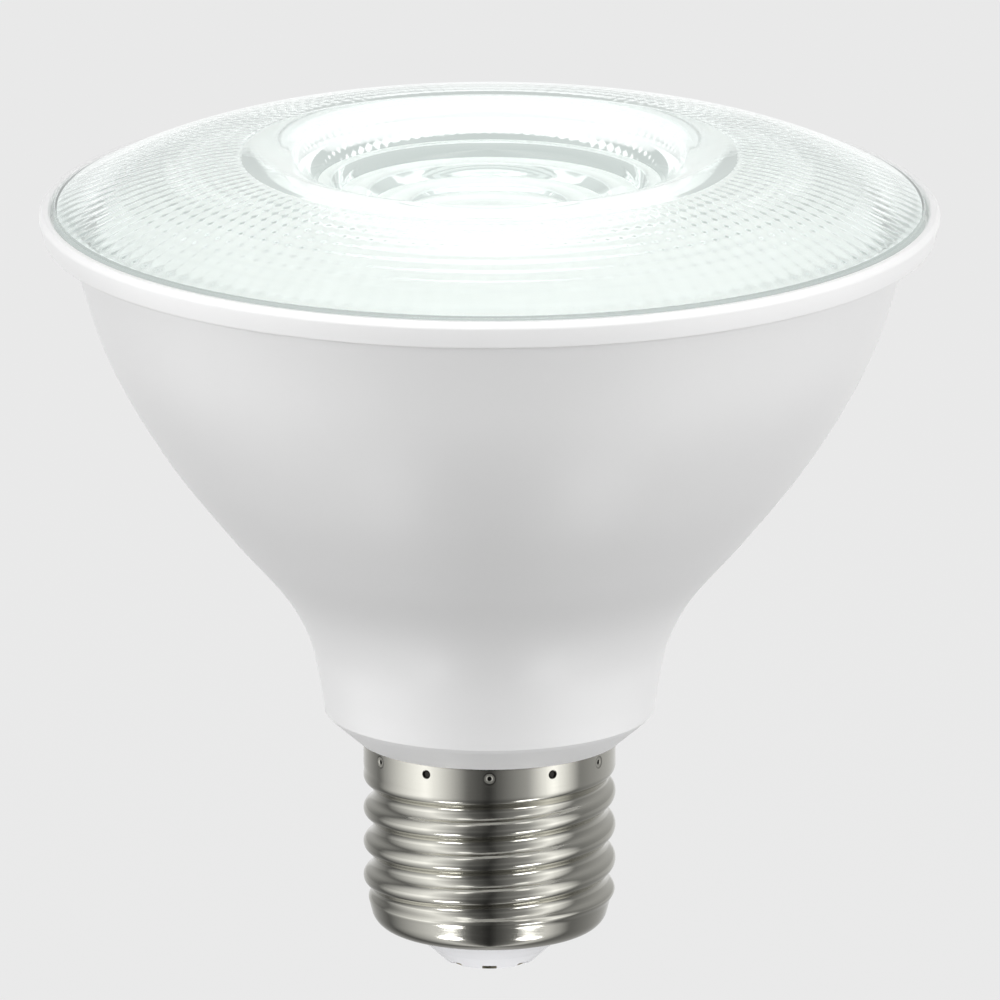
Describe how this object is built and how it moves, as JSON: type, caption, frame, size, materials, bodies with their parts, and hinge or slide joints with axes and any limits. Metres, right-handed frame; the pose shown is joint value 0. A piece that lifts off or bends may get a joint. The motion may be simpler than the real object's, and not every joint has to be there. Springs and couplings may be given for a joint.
{
  "type": "par spotlight bulb",
  "caption": "Reflector spotlight bulb: flared white body on a short neck, clear stepped front lens in a retaining ring, and a nickel-plated right-hand screw cap with centre contact.",
  "frame": {"origin": "tip of the centre contact, on the lamp's axis", "axes": "+Z along the lamp's axis from the cap to the lens; -Z is the way the cap screws in"},
  "size_m": [0.094, 0.094, 0.088],
  "materials": {
    "clear_plastic": "clear, polished",
    "white_plastic": "satin white",
    "pressed_aluminium": "plain pressed",
    "reflector_white": "glossy white",
    "board_white": "white solder mask",
    "phosphor_yellow": "matt phosphor",
    "steel": "zinc plated",
    "board_green": "solder mask",
    "capacitor_sleeve": "sleeved can",
    "ferrite": "matt",
    "winding_tape": "taped copper wire",
    "film_brown": "moulded",
    "chip_black": "moulded",
    "varistor_blue": "dipped",
    "resistor_green": "dipped",
    "lead_red": "insulated wire",
    "lead_black": "insulated wire",
    "bare_lead": "tinned wire",
    "nickel_plate": "bright nickel plate",
    "insulator_grey": "smooth",
    "contact_brass": "tinned"
  },
  "bodies": {
    "root": {"lens": "clear_plastic", "retaining_ring": "white_plastic", "housing": "white_plastic", "heat_sink": "pressed_aluminium", "reflector": "reflector_white", "lamp_board": "board_white", "lamp_chips": "phosphor_yellow", "board_screws": "steel", "driver_board": "board_green", "input_capacitor": "capacitor_sleeve", "output_capacitor": "capacitor_sleeve", "transformer_core": "ferrite", "transformer_winding": "winding_tape", "film_capacitor": "film_brown", "filter_inductor": "ferrite", "bridge_rectifier": "chip_black", "driver_chip": "chip_black", "varistor": "varistor_blue", "fuse_resistor": "resistor_green", "chip_resistors": "chip_black", "output_lead_positive": "lead_red", "output_lead_negative": "lead_black", "side_contact_lead": "bare_lead", "centre_contact_lead": "bare_lead", "cap_shell": "nickel_plate", "cap_insulator": "insulator_grey", "centre_contact": "contact_brass"}
  },
  "joints": []
}
